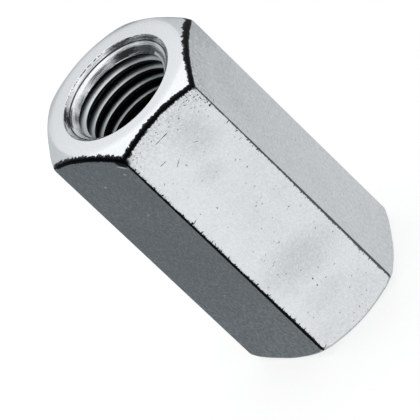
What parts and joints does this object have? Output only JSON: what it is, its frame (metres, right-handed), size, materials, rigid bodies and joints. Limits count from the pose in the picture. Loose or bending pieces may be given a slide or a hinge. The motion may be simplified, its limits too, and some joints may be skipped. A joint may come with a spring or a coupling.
{
  "type": "coupling nut",
  "caption": "Long hexagonal coupling nut with turned end chamfers, a countersunk mouth at each end and a right-hand metric thread tapped right through.",
  "frame": {"origin": "centre of the lower end face, on the thread's axis", "axes": "+Z along the thread's axis towards the upper end; two opposite hexagon flats face +Y and -Y, two opposite corners lie on +X and -X"},
  "size_m": [0.052, 0.0452, 0.09],
  "materials": {
    "zinc_steel": "bright zinc plating over drawn steel, with fine pits and scratches"
  },
  "bodies": {
    "root": {"coupling_nut": "zinc_steel"}
  },
  "joints": []
}
